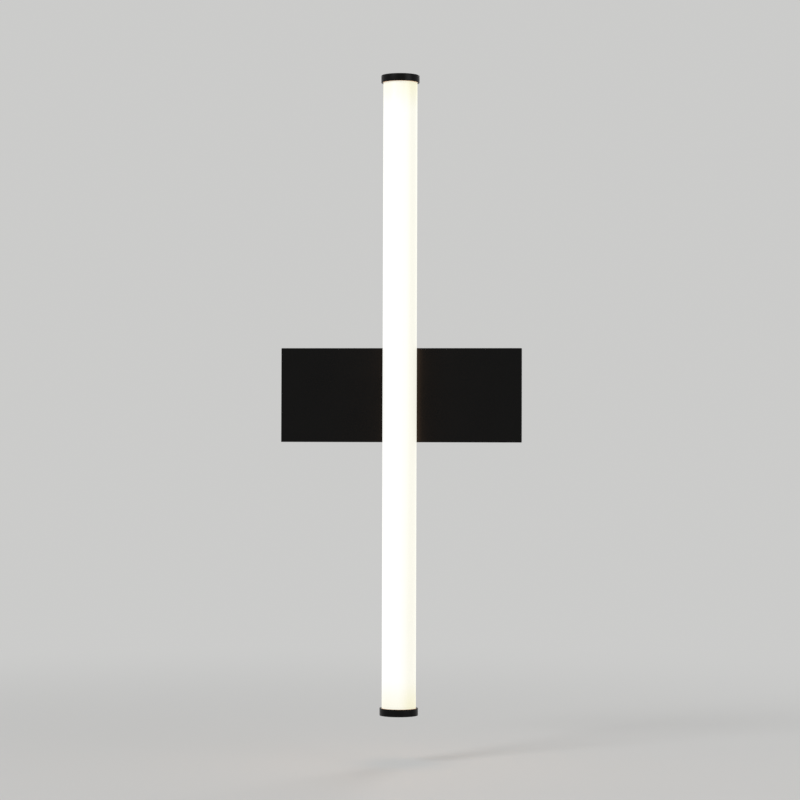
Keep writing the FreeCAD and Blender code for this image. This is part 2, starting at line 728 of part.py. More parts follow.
def make_end_plugs():
    for name, side in (("top", 1), ("bottom", -1)):
        body = new_body("end_plug_" + name)
        place(body, 0, "tube_off", 0, UPWARD if side > 0 else DOWNWARD)
        disc = new_sketch(body, "XY_Plane", off="core_top - plug_collar")
        draw_circle(disc, 0, 0, "tube_radius - tube_wall - hole_gap")
        pad(body, disc, "cap_inside - core_top + plug_collar")
        socket = new_sketch(body, "XY_Plane", off="core_top")
        draw_rectangle(socket, 0, 0, "core_width + 2 * slip", "core_width + 2 * slip")
        pocket(body, socket, "plug_collar")
        spigot = new_sketch(body, "XY_Plane", off="core_top - plug_spigot")
        draw_rectangle(spigot, 0, 0, "core_bore - 2 * slip", "core_bore - 2 * slip")
        pad(body, spigot, "plug_spigot + plug_collar / 2")
        bore = new_sketch(body, "XY_Plane", off="cap_inside")
        draw_circle(bore, 0, 0, "cap_screw_radius + slip")
        pocket(body, bore, "cap_screw_length")


def make_cap_screws():
    screws = []
    for side, turn in ((-1, DOWNWARD), (1, UPWARD)):
        top = "lamp_height / 2"
        tip = f"{side} * ({top} - cap_screw_length)"
        shoulder = f"{side} * ({top} - cap_screw_head / 2)"
        tall = "cap_screw_head / 2"
        shank = cylinder("cap_screw_radius", f"cap_screw_length - {tall}", 0, "tube_off", tip, turn)
        head = cone("cap_screw_radius", "cap_screw_head", tall, 0, "tube_off", shoulder, turn)
        floor = f"{side} * ({top} - 0.65 * {tall})"
        recess = prism("cap_screw_radius * 1.25", tall, 0, "tube_off", floor, turn)
        screws.append(cut(join(shank, head), recess))
    group("cap_screws", screws)


# ---- leads -----------------------------------------------------------------------------

def lead(corners, radius):
    """Round lead that rounds off every corner of a path; corners are x, off, height."""
    spots = [V(x, -off, z) for x, off, z in corners]
    halves = [(one + two) / 2 for one, two in zip(spots, spots[1:])]
    edges = [Part.LineSegment(spots[0], halves[0]).toShape()]
    for start, corner, end in zip(halves, spots[1:], halves[1:]):
        bend = Part.BezierCurve()
        bend.setPoles([start, corner, end])
        edges.append(bend.toShape())
    edges.append(Part.LineSegment(halves[-1], spots[-1]).toShape())
    ring = Part.Wire(Part.Circle(spots[0], spots[1] - spots[0], radius).toShape())
    return Part.Wire(edges).makePipeShell([ring], True, True)


def lead_node(label, leads):
    item = doc.addObject("Part::Feature", label)
    item.Shape = Part.makeCompound(leads)
    item.Placement = FreeCAD.Placement()
    keep(item, label)


def into_block(pole):
    """Corners that lead straight up into a pole of the terminal block."""
    x = at("block_x") + pole * at("pole_pitch")
    depth = at("block_height") / 6
    return [(x, at("entry_off"), at("block_low") + step) for step in (-3 * depth, depth)]


def out_of_driver(side, z):
    """Corners that lead out of one end of the driver and back toward the wall."""
    inside = side * (at("driver_length") / 2 - 2 * at("driver_wall"))
    outside = side * (at("driver_length") / 2 + at("lead_loop"))
    back = at("driver_start") - 3 * at("driver_wall") - at("mains_radius")
    return [(inside, at("driver_middle"), z), (outside, at("driver_middle"), z), (outside, back, z)]


def make_mains_leads():
    leads = []
    for pole in (0, 1):
        z = at("driver_z") + (2 * pole - 1) * at("driver_height") / 8
        leads.append(lead(out_of_driver(-1, z) + into_block(pole), at("mains_radius")))
    lead_node("mains_leads", leads)


def make_earth_lead():
    off = at("plate_sheet") + 2 * at("ring_thick") + at("mains_radius") / 2
    start, turn = at("earth_x") + 2.5 * at("side_radius"), at("earth_x") + 7 * at("side_radius")
    low = at("block_low") - at("block_height") / 3
    corners = [(start, off, at("earth_z")), (turn, off, at("earth_z")), (turn, off, low)]
    lead_node("earth_lead", [lead(corners + into_block(-1), at("mains_radius"))])


def make_output_leads():
    leads = []
    back = at("entry_off") + at("lead_radius")
    for side in (-1, 1):
        z = at("driver_z") + side * at("driver_height") / 8
        pair = side * at("lead_pair")
        slack = [(at("driver_length") / 3, back, pair - 2 * at("pole_screw")), (0, back, pair),
                 (0, at("pivot_end") - 2 * at("sleeve_lip"), pair)]
        leads.append(lead(out_of_driver(1, z) + slack, at("lead_radius")))
    lead_node("output_leads", leads)


def make_tube_leads():
    leads = []
    core = at("tube_off")
    for side in (-1, 1):
        pair = side * at("lead_pair")
        leads.append(lead([
            (0, at("pivot_end") - at("sleeve_lip") / 2, pair), (0, core - at("core_width") / 2, pair),
            (0, core, pair), (0, core, side * at("core_width")), (0, core, side * at("lead_rise"))],
            at("lead_radius")))
    lead_node("tube_leads", leads)


def write_nodes():
    """Recompute, check every object and write one file for each node."""
    doc.recompute()
    for item in doc.Objects:
        if "Invalid" in item.State or "Error" in item.State:
            raise RuntimeError(f"{item.Name} is not right: {item.State}")
    os.makedirs("parts", exist_ok=True)
    for node in nodes:
        if node.Shape.isNull() or not node.Shape.isValid():
            raise RuntimeError(f"{node.Label} has no valid shape")
        node.Shape.exportStep(f"parts/{node.Label}.step")
        print(f"{node.Label:20s} {len(node.Shape.Solids)} {node.Shape.Volume:10.1f} {node.Shape.BoundBox}")


make_wall_bracket()
make_cable_grommet()
make_back_box()
make_front_cover()
make_cover_studs()
make_cover_nuts()
make_box_screws()
make_driver_case()
make_driver_lid()
make_driver_board()
make_driver_transformer()
make_driver_capacitors()
make_driver_screws()
make_terminal_block()
make_terminal_screws()
make_earth_screw()
make_earth_ring()
make_earth_nut()
make_pivot_bushing()
make_stop_pins()
make_pivot_nipple()
make_disc_spring()
make_stop_washer()
make_lock_washer()
make_pivot_nut()
make_lead_sleeve()
make_tube_saddle()
make_saddle_screws()
make_core_profile()
make_led_strips()
make_led_beads()
make_diffuser_tube()
make_end_caps()
make_cap_seals()
make_end_plugs()
make_cap_screws()
make_mains_leads()
make_earth_lead()
make_output_leads()
make_tube_leads()
write_nodes()
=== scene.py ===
import math
import bmesh
import bpy
from mathutils import Matrix, Vector


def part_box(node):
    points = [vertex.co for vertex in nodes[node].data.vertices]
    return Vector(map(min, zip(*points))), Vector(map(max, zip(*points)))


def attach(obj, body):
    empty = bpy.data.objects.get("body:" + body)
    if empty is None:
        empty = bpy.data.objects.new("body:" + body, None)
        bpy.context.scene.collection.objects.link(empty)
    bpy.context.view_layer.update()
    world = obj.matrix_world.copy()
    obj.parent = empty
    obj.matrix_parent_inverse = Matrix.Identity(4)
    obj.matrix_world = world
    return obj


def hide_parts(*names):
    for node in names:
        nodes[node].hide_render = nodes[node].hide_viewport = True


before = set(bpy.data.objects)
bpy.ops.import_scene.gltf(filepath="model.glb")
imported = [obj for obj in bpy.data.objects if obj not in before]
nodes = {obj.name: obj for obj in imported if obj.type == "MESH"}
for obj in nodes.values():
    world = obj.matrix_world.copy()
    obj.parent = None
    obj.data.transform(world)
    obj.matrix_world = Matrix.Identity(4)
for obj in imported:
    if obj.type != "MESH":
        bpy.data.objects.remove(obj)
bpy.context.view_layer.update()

MM = 0.001


# ---- Stage, lamps and camera ------------------------------------------------------------
# A pale grey floor that fades into a surround of the same grey, soft lamps from the front
# left, the right and behind, and the camera at eye level 2.4 m in front of the wall plane.

def linked(name, data):
    """New object in the scene that shows the given mesh, lamp or camera."""
    holder = bpy.data.objects.new(name, data)
    bpy.context.scene.collection.objects.link(holder)
    return holder


def new_material(name, **sockets):
    """Principled material; plain values go on the shader's own sockets."""
    material = bpy.data.materials.new(name)
    material.use_nodes = True
    tree = material.node_tree
    shader = tree.nodes["Principled BSDF"]
    for label, value in sockets.items():
        shader.inputs[label.replace("_", " ")].default_value = value
    return material, tree, shader


def add_node(tree, kind, **settings):
    """Add a node; a setting that names a socket takes a value or a link, the rest are properties."""
    item = tree.nodes.new(kind)
    plugs = {}
    for label, value in settings.items():
        if hasattr(item, label):
            setattr(item, label, value)
        else:
            plugs[label] = value
    for label, value in plugs.items():
        place = int(label[1:]) if label[1:].isdigit() else label.replace("_", " ")
        socket = item.inputs[place]
        if isinstance(value, bpy.types.NodeSocket):
            tree.links.new(value, socket)
        else:
            socket.default_value = value
    return item


def math_node(tree, operation, first, second=0.0, third=0.0, clamp=False):
    return add_node(tree, "ShaderNodeMath", operation=operation, use_clamp=clamp,
                    _0=first, _1=second, _2=third).outputs[0]


def step_between(tree, value, start, end, low=0.0, high=1.0):
    """Smooth step from low to high as value runs from start to end."""
    item = add_node(tree, "ShaderNodeMapRange", interpolation_type="SMOOTHSTEP", Value=value)
    for label, number in (("From Min", start), ("From Max", end), ("To Min", low), ("To Max", high)):
        item.inputs[label].default_value = number
    return item.outputs["Result"]


def mix_colours(tree, factor, first, second):
    """Colour mix; first and second are colours or links."""
    item = tree.nodes.new("ShaderNodeMix")
    item.data_type = "RGBA"
    for socket, value in ((item.inputs[0], factor), (item.inputs[6], first), (item.inputs[7], second)):
        if isinstance(value, bpy.types.NodeSocket):
            tree.links.new(value, socket)
        else:
            socket.default_value = value
    return item.outputs[2]


def rgb(red, green, blue):
    return (red, green, blue, 1.0)


FLOOR_Z = -0.345
FLOOR_RADIUS = 9.0

floor_mesh = bpy.data.meshes.new("floor")
FLOOR_SIDES = 96
ring = [(FLOOR_RADIUS * math.cos(2 * math.pi * side / FLOOR_SIDES),
         FLOOR_RADIUS * math.sin(2 * math.pi * side / FLOOR_SIDES), FLOOR_Z) for side in range(FLOOR_SIDES)]
floor_mesh.from_pydata(ring, [], [list(range(FLOOR_SIDES))])
floor = linked("floor", floor_mesh)

PALE_GREY = rgb(0.60, 0.60, 0.592)
floor_paint, tree, shader = new_material("pale_floor", Base_Color=PALE_GREY, Roughness=0.75)
place = add_node(tree, "ShaderNodeTexCoord").outputs["Object"]
reach = add_node(tree, "ShaderNodeVectorMath", operation="LENGTH", _0=place).outputs["Value"]
seen = add_node(tree, "ShaderNodeLightPath")
direct = math_node(tree, "MAXIMUM", seen.outputs["Is Camera Ray"], seen.outputs["Is Glossy Ray"])
fade = math_node(tree, "MULTIPLY", step_between(tree, reach, 0.3, 1.4, 0.35, 1.0), direct)
glow = add_node(tree, "ShaderNodeEmission", Color=PALE_GREY, Strength=1.0)
blend = add_node(tree, "ShaderNodeMixShader", _0=fade, _1=shader.outputs[0], _2=glow.outputs[0])
tree.links.new(blend.outputs[0], tree.nodes["Material Output"].inputs["Surface"])
floor_mesh.materials.append(floor_paint)

# the surround is the floor's grey where it is seen directly, in gloss or through glass
world = bpy.data.worlds.new("surround")
bpy.context.scene.world = world
world.use_nodes = True
tree = world.node_tree
seen = add_node(tree, "ShaderNodeLightPath")
direct = math_node(tree, "MAXIMUM", seen.outputs["Is Camera Ray"], seen.outputs["Is Transmission Ray"])
direct = math_node(tree, "MAXIMUM", direct, seen.outputs["Is Glossy Ray"])
back = tree.nodes["Background"]
tree.links.new(mix_colours(tree, direct, rgb(0.36, 0.36, 0.36), PALE_GREY), back.inputs["Color"])


def soft_lamp(name, spot, target, width, height, power):
    """Rectangular lamp that looks at a target."""
    lamp = bpy.data.lights.new(name, "AREA")
    lamp.shape = "RECTANGLE"
    lamp.size, lamp.size_y, lamp.energy = width, height, power
    holder = linked(name, lamp)
    holder.location = spot
    holder.rotation_euler = (Vector(target) - Vector(spot)).to_track_quat("-Z", "Y").to_euler()


soft_lamp("key_lamp", (-1.6, -1.9, 1.7), (0, 0, 0), 0.9, 0.9, 36)
soft_lamp("fill_lamp", (1.9, -1.5, 0.5), (0, 0, 0), 1.4, 1.4, 12)
soft_lamp("back_lamp", (0.8, 2.2, 1.5), (0, 0, 0), 1.2, 1.2, 22)

CAMERA_SPOT = Vector((0.180, -2.400, -0.0474))
CAMERA_TARGET = Vector((0.0004, -0.060, -0.0049))
CAMERA_ROLL = math.radians(0.16)
camera = bpy.data.cameras.new("camera")
camera.sensor_width = 36
camera.lens = 112.63
viewer = linked("camera", camera)
viewer.location = CAMERA_SPOT
looking = (CAMERA_TARGET - CAMERA_SPOT).to_track_quat("-Z", "Y").to_matrix()
viewer.rotation_euler = (looking @ Matrix.Rotation(CAMERA_ROLL, 3, "Z")).to_euler()
bpy.context.scene.camera = viewer
bpy.context.scene.view_settings.view_transform = "Standard"


# ---- Wall bracket -------------------------------------------------------------------------
# Zinc plated steel sheet, punched and bent once at each end, where a lug takes the screw
# that holds the box. It is screwed to the wall through its two slotted holes.

def noise(tree, vector, size, detail=3.0, rough=0.5):
    """Noise whose grains are about size millimetres across."""
    item = add_node(tree, "ShaderNodeTexNoise", Vector=vector)
    item.inputs["Scale"].default_value = 1 / (size * MM)
    item.inputs["Detail"].default_value = detail
    item.inputs["Roughness"].default_value = rough
    return item.outputs["Fac"]


def stretched(tree, vector, along, factor=0.02):
    """Object coordinates drawn out along one axis, for lines left by rolling or drawing."""
    scale = [1.0, 1.0, 1.0]
    scale["XYZ".index(along)] = factor
    item = add_node(tree, "ShaderNodeMapping", Vector=vector)
    item.inputs["Scale"].default_value = scale
    return item.outputs["Vector"]


def bump(tree, shader, height, depth):
    """Bump of the given depth in millimetres."""
    item = add_node(tree, "ShaderNodeBump", Height=height)
    item.inputs["Strength"].default_value = 1.0
    item.inputs["Distance"].default_value = depth * MM
    tree.links.new(item.outputs["Normal"], shader.inputs["Normal"])


def weighted(tree, first, share, second, other_share):
    """Sum of two values, each times its own share."""
    return math_node(tree, "ADD", math_node(tree, "MULTIPLY", first, share),
                     math_node(tree, "MULTIPLY", second, other_share))


def plated_steel(name, colour, roughness, along="X"):
    """Sheet or bar steel under zinc: faint spangle, rolling lines and duller patches."""
    material, tree, shader = new_material(name, Metallic=1.0)
    place = add_node(tree, "ShaderNodeTexCoord").outputs["Object"]
    cells = add_node(tree, "ShaderNodeTexVoronoi", Vector=place)
    cells.inputs["Scale"].default_value = 1 / (3.5 * MM)
    spangle = add_node(tree, "ShaderNodeSeparateColor", Color=cells.outputs["Color"]).outputs[0]
    lines = noise(tree, stretched(tree, place, along), 0.4)
    cloud = noise(tree, place, 18)
    tone = weighted(tree, spangle, 0.35, cloud, 0.65)
    dark = rgb(*[value * 0.8 for value in colour])
    tree.links.new(mix_colours(tree, tone, dark, rgb(*colour)), shader.inputs["Base Color"])
    rough = weighted(tree, spangle, 0.08, lines, 0.16)
    tree.links.new(math_node(tree, "ADD", rough, roughness - 0.1), shader.inputs["Roughness"])
    bump(tree, shader, lines, 0.006)
    return material


def as_piece(name, mesh, node, body):
    """Link a mesh as a piece that stands for CAD nodes and rides on their body."""
    piece = linked(name, mesh)
    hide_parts(*([node] if isinstance(node, str) else node))
    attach(piece, body)
    return piece


def worked_out(holder):
    """Plain mesh of an object with its modifiers worked in; the object itself goes."""
    bpy.context.view_layer.update()
    shape = holder.evaluated_get(bpy.context.evaluated_depsgraph_get())
    result = bpy.data.meshes.new_from_object(shape)
    bpy.data.objects.remove(holder)
    return result


def baked_mesh(mesh, name, modifiers):
    """The mesh with the given modifiers worked in; modifiers is a list of type and settings."""
    holder = linked(name, mesh)
    for kind, settings in modifiers:
        modifier = holder.modifiers.new(kind.lower(), kind)
        for label, value in settings.items():
            setattr(modifier, label, value)
    result = worked_out(holder)
    result.name = name
    cleaned = bmesh.new()
    cleaned.from_mesh(result)
    bmesh.ops.dissolve_degenerate(cleaned, edges=cleaned.edges, dist=1e-6)
    cleaned.to_mesh(result)
    cleaned.free()
    return result


def smooth_faces(mesh, angle=35):
    for face in mesh.polygons:
        face.use_smooth = True
    mesh.set_sharp_from_angle(angle=math.radians(angle))


def eased_copy(node, edge, steps=3, angle=30):
    """Merged copy of a CAD node's mesh with every sharp edge eased by a small radius."""
    mesh = nodes[node].data.copy()
    shape = bmesh.new()
    shape.from_mesh(mesh)
    bmesh.ops.remove_doubles(shape, verts=shape.verts, dist=1e-6)
    bmesh.ops.dissolve_limit(shape, angle_limit=math.radians(0.4), verts=shape.verts, edges=shape.edges)
    shape.to_mesh(mesh)
    shape.free()
    mesh.materials.clear()
    smooth_faces(mesh, angle)
    settings = dict(width=edge * MM, segments=steps, limit_method="ANGLE", angle_limit=math.radians(angle),
                    harden_normals=True, use_clamp_overlap=True, miter_outer="MITER_ARC")
    return baked_mesh(mesh, node + "_eased", [("BEVEL", settings)])


def eased_piece(node, body, material, edge, steps=3):
    mesh = eased_copy(node, edge, steps)
    mesh.materials.append(material)
    return as_piece(node + "_piece", mesh, node, body)


zinc = plated_steel("zinc_plate", (0.62, 0.63, 0.65), 0.34)
eased_piece("wall_bracket", "wall_box", zinc, 0.25)


# ---- Cable grommet ------------------------------------------------------------------------
# Soft black rubber ring snapped into the bracket's middle hole, so that the supply cable
# doesn't rub on the sheet's edge.

def grained(name, colour, roughness, grain, depth, spread=0.1, **sockets):
    """Moulded or sprayed surface: fine grain in the bump, cloudy tone and gloss."""
    material, tree, shader = new_material(name, **sockets)
    place = add_node(tree, "ShaderNodeTexCoord").outputs["Object"]
    fine = noise(tree, place, grain, 2.0)
    cloud = noise(tree, place, grain * 40)
    dark = rgb(*[value * (1 - spread) for value in colour])
    light = rgb(*[min(1.0, value * (1 + spread)) for value in colour])
    tree.links.new(mix_colours(tree, cloud, dark, light), shader.inputs["Base Color"])
    rough = weighted(tree, cloud, 0.12, fine, 0.1)
    tree.links.new(math_node(tree, "ADD", rough, roughness - 0.11), shader.inputs["Roughness"])
    bump(tree, shader, fine, depth)
    return material


rubber = grained("soft_rubber", (0.022, 0.022, 0.023), 0.68, 0.25, 0.02)
eased_piece("cable_grommet", "wall_box", rubber, 0.4)


# ---- Back box -----------------------------------------------------------------------------
# Folded steel sheet box, welded at its corners and powder coated near-black with the cover.
# It hides the driver and slides over the bracket's lugs.

def powder_coat(name, colour=(0.0018, 0.0017, 0.0016), roughness=0.29):
    """Satin black powder: orange peel, a fine grain on top, faint dust in the gloss."""
    material, tree, shader = new_material(name)
    shader.inputs["IOR"].default_value = 1.25
    shader.inputs["Specular IOR Level"].default_value = 0.4
    place = add_node(tree, "ShaderNodeTexCoord").outputs["Object"]
    peel = noise(tree, place, 1.6, 1.0)
    grain = noise(tree, place, 0.22, 2.0)
    dust = noise(tree, place, 26, 4.0, 0.6)
    light = rgb(*[value * 1.5 for value in colour])
    tree.links.new(mix_colours(tree, dust, rgb(*colour), light), shader.inputs["Base Color"])
    rough = weighted(tree, dust, 0.12, grain, 0.08)
    tree.links.new(math_node(tree, "ADD", rough, roughness - 0.1), shader.inputs["Roughness"])
    height = math_node(tree, "ADD", peel, math_node(tree, "MULTIPLY", grain, 0.35))
    bump(tree, shader, height, 0.012)
    return material


black_coat = powder_coat("black_powder")
eased_piece("back_box", "wall_box", black_coat, 0.7, 4)


# ---- Front cover --------------------------------------------------------------------------
# Shallow tray of the same coated sheet, wider than the box behind it, so that a shadow gap
# runs round the box. Its edges are folded back and its corners welded and ground flush.

eased_piece("front_cover", "wall_box", black_coat, 0.6, 4)


# ---- Cover studs and nuts -----------------------------------------------------------------
# Four welded studs on the back of the cover pass through the box's front, and a plain zinc
# nut pulls each one up from inside.

def ring_profile(mesh_name, profile, steps, spin):
    """Closed profile of radius and height turned about Z, then placed by a matrix."""
    points, faces, rows = [], [], len(profile)
    for turn in range(steps):
        angle = 2 * math.pi * turn / steps
        points += [(radius * math.cos(angle), radius * math.sin(angle), height) for radius, height in profile]
    for turn in range(steps):
        following = (turn + 1) % steps
        for row in range(rows):
            upper = (row + 1) % rows
            faces.append((turn * rows + row, following * rows + row,
                          following * rows + upper, turn * rows + upper))
    mesh = bpy.data.meshes.new(mesh_name)
    mesh.from_pydata([spin @ Vector(point) for point in points], [], faces)
    shape = bmesh.new()
    shape.from_mesh(mesh)
    bmesh.ops.remove_doubles(shape, verts=shape.verts, dist=1e-7)
    bmesh.ops.dissolve_degenerate(shape, edges=shape.edges, dist=1e-8)
    bmesh.ops.recalc_face_normals(shape, faces=shape.faces)
    shape.to_mesh(mesh)
    shape.free()
    smooth_faces(mesh)
    return mesh


def eased_corners(corners, steps=5):
    """Round the corners of a closed profile; each corner is radius, height and rounding in mm."""
    result = []
    count = len(corners)
    for index, (x, y, rounding) in enumerate(corners):
        here = Vector((x, y))
        before = Vector(corners[index - 1][:2])
        after = Vector(corners[(index + 1) % count][:2])
        if not rounding:
            result.append(here)
            continue
        first = here + (before - here).normalized() * rounding
        last = here + (after - here).normalized() * rounding
        for step in range(steps + 1):
            part = step / steps
            result.append((1 - part) ** 2 * first + 2 * part * (1 - part) * here + part ** 2 * last)
    return [(point.x * MM, point.y * MM) for point in result]


def scatter_tree(name):
    """Geometry Nodes tree: one copy of a piece at every point, turned by the point's angles."""
    tree = bpy.data.node_groups.new(name, "GeometryNodeTree")
    for label, kind in (("Places", "NodeSocketGeometry"), ("Piece", "NodeSocketObject"),
                        ("Size", "NodeSocketFloat"), ("Finish", "NodeSocketMaterial")):
        tree.interface.new_socket(label, in_out="INPUT", socket_type=kind)
    tree.interface.new_socket("Result", in_out="OUTPUT", socket_type="NodeSocketGeometry")
    entry = tree.nodes.new("NodeGroupInput")
    piece = tree.nodes.new("GeometryNodeObjectInfo")
    angles = tree.nodes.new("GeometryNodeInputNamedAttribute")
    angles.data_type = "FLOAT_VECTOR"
    angles.inputs["Name"].default_value = "angles"
    copies = tree.nodes.new("GeometryNodeInstanceOnPoints")
    solid = tree.nodes.new("GeometryNodeRealizeInstances")
    finish = tree.nodes.new("GeometryNodeSetMaterial")
    leave = tree.nodes.new("NodeGroupOutput")
    link = tree.links.new
    link(entry.outputs["Piece"], piece.inputs["Object"])
    link(entry.outputs["Places"], copies.inputs["Points"])
    link(piece.outputs["Geometry"], copies.inputs["Instance"])
    link(angles.outputs["Attribute"], copies.inputs["Rotation"])
    link(entry.outputs["Size"], copies.inputs["Scale"])
    link(copies.outputs["Instances"], solid.inputs["Geometry"])
    link(solid.outputs["Geometry"], finish.inputs["Geometry"])
    link(entry.outputs["Finish"], finish.inputs["Material"])
    link(finish.outputs["Geometry"], leave.inputs["Result"])
    return tree


scatter = scatter_tree("put_at_places")


def scattered(name, places, mesh, material, node, body):
    """Copies of a mesh at places; each place is x, off, z in mm and its turn as three angles."""
    points = bpy.data.meshes.new(name + "_places")
    points.from_pydata([(x * MM, -off * MM, z * MM) for (x, off, z), angles in places], [], [])
    stored = points.attributes.new("angles", "FLOAT_VECTOR", "POINT")
    for index, (spot, angles) in enumerate(places):
        stored.data[index].vector = [math.radians(angle) for angle in angles]
    model = linked(name + "_model", mesh)
    holder = linked(name, points)
    modifier = holder.modifiers.new("copies", "NODES")
    modifier.node_group = scatter
    values = {"Piece": model, "Size": 1.0, "Finish": material}
    for item in scatter.interface.items_tree:
        if item.item_type == "SOCKET" and item.in_out == "INPUT" and item.name in values:
            modifier[item.identifier] = values[item.name]
    result = worked_out(holder)
    bpy.data.objects.remove(model)
    return as_piece(name, result, node, body)


TOWARD_WALL = (-90, 0, 0)
INTO_ROOM = (90, 0, 0)
UPRIGHT = Matrix.Identity(4)


def centre_of(node):
    """Middle of a CAD node's box as x, distance off the wall and height, in mm."""
    low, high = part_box(node)
    return ((low[0] + high[0]) / 2 / MM, -(low[1] + high[1]) / 2 / MM, (low[2] + high[2]) / 2 / MM)


def hexagon_nut(name, across, tall, bore):
    """Chamfered hexagon nut with a threaded bore, its base on the XY plane."""
    shape = bmesh.new()
    steps, rows = 72, []
    corner = across / 2 / math.cos(math.pi / 6)
    for height, lead in ((0, 1), (0.12, 0), (0.88, 0), (1, 1)):
        row = []
        for turn in range(steps):
            angle = 2 * math.pi * turn / steps
            fold = angle % (math.pi / 3) - math.pi / 6
            flat = across / 2 / math.cos(fold)
            reach = min(flat, corner - (corner - across / 2) * lead)
            row.append(shape.verts.new((reach * math.cos(angle) * MM, reach * math.sin(angle) * MM,
                                        height * tall * MM)))
        rows.append(row)
    inner = []
    turns = 8
    for step in range(turns * 2 + 1):
        radius = bore if step in (0, turns * 2) else (bore - 0.02 if step % 2 == 0 else bore - 0.22)
        height = tall * (1 - step / (turns * 2))
        inner.append([shape.verts.new((radius * math.cos(2 * math.pi * t / steps) * MM,
                                       radius * math.sin(2 * math.pi * t / steps) * MM, height * MM))
                      for t in range(steps)])
    rows += inner
    for low, high in zip(rows, rows[1:] + rows[:1]):
        for turn in range(steps):
            following = (turn + 1) % steps
            shape.faces.new((low[turn], low[following], high[following], high[turn]))
    bmesh.ops.recalc_face_normals(shape, faces=shape.faces)
    mesh = bpy.data.meshes.new(name)
    shape.to_mesh(mesh)
    shape.free()
    smooth_faces(mesh, 25)
    return mesh


def threaded_rod(name, radius, length, pitch, bore=0.0):
    """Rod or hollow nipple with thread rings, from 0 up to its length."""
    corners = [(bore, 0), (radius - 0.12, 0)]
    turns = int(length / pitch)
    for turn in range(turns):
        base = turn * length / turns
        corners += [(radius - 0.12, base + 0.1 * pitch), (radius - 0.01, base + 0.45 * pitch),
                    (radius - 0.01, base + 0.6 * pitch), (radius - 0.12, base + 0.95 * pitch)]
    corners += [(radius - 0.12, length), (bore, length)]
    return ring_profile(name, [(r * MM, z * MM) for r, z in corners], 48, UPRIGHT)


bright_zinc = plated_steel("bright_zinc", (0.66, 0.66, 0.67), 0.28)
STUD_RADIUS, STUD_ROOT, NUT_SEAT = 1.5, 40.5, 39.0
stud_x = (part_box("cover_studs")[1][0] / MM) - STUD_RADIUS
stud_z = (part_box("cover_studs")[1][2] / MM) - STUD_RADIUS
stud_spots = [(sx * stud_x, sz * stud_z) for sx in (-1, 1) for sz in (-1, 1)]
scattered("cover_studs_piece", [((x, STUD_ROOT, z), TOWARD_WALL) for x, z in stud_spots],
          threaded_rod("stud", STUD_RADIUS, 7, 0.5), bright_zinc, "cover_studs", "wall_box")
scattered("cover_nuts_piece", [((x, NUT_SEAT, z), TOWARD_WALL) for x, z in stud_spots],
          hexagon_nut("small_nut", 5.5, 2.4, 1.6), bright_zinc, "cover_nuts", "wall_box")


# ---- Box screws ---------------------------------------------------------------------------
# One blackened pan head screw through each end of the box into the bracket's lug.

def cut_by(mesh, name, cutter, **settings):
    """The mesh less the closed form that a bmesh holds; the bmesh is used up."""
    cutter_mesh = bpy.data.meshes.new(name + "_cutter")
    cutter.to_mesh(cutter_mesh)
    cutter.free()
    tool = linked(name + "_cutter", cutter_mesh)
    settings.update(object=tool, operation="DIFFERENCE", solver="EXACT")
    result = baked_mesh(mesh, name, [("BOOLEAN", settings)])
    bpy.data.objects.remove(tool)
    return result


def pan_screw(name, head, tall, radius, length, recess, rod_pitch=0.7):
    """Pan head with a cross recess, its head's underside on the XY plane and its shank below."""
    outer = [(0, tall, 0), (head * 0.62, tall, head * 0.3), (head, tall * 0.45, tall * 0.3),
             (head, 0, tall * 0.12), (radius, 0, 0)]
    profile = eased_corners(outer)
    turns = int(length / rod_pitch)
    for turn in range(turns):
        base = -turn * length / turns
        for inset, part in ((0.25, 0.15), (0.02, 0.5), (0.02, 0.6), (0.25, 0.9)):
            profile.append(((radius - inset) * MM, (base - part * rod_pitch) * MM))
    profile += [((radius - 0.3) * MM, -length * MM), (0, -length * MM)]
    mesh = ring_profile(name, profile, 48, UPRIGHT)
    cutter = bmesh.new()
    for wide, deep in ((recess, recess * 0.26), (recess * 0.26, recess)):
        size = Matrix.Diagonal((wide * 2 * MM, deep * 2 * MM, tall * 1.3 * MM, 1))
        bmesh.ops.create_cube(cutter, size=1.0, matrix=Matrix.Translation((0, 0, tall * MM)) @ size)
    result = cut_by(mesh, name, cutter, use_self=True)
    smooth_faces(result, 28)
    return result


black_zinc = plated_steel("black_zinc", (0.035, 0.035, 0.038), 0.4)
BOX_SIDE, BOX_SCREW_OFF = 102.5, 10
scattered("box_screws_piece",
          [((side * BOX_SIDE, BOX_SCREW_OFF, 0), (0, side * 90, 0)) for side in (1, -1)],
          pan_screw("side_screw", 4.0, 2.6, 2.0, 7.0, 1.9), black_zinc,
          "box_screws", "wall_box")


# ---- Driver -------------------------------------------------------------------------------
# White moulded case with screwed ears against the front of the box, closed by a flat lid.
# Its board carries a wound transformer and two round capacitors.

white_plastic = grained("white_case", (0.78, 0.78, 0.76), 0.5, 0.3, 0.015, 0.04)
eased_piece("driver_case", "wall_box", white_plastic, 0.4)
eased_piece("driver_lid", "wall_box", white_plastic, 0.35)

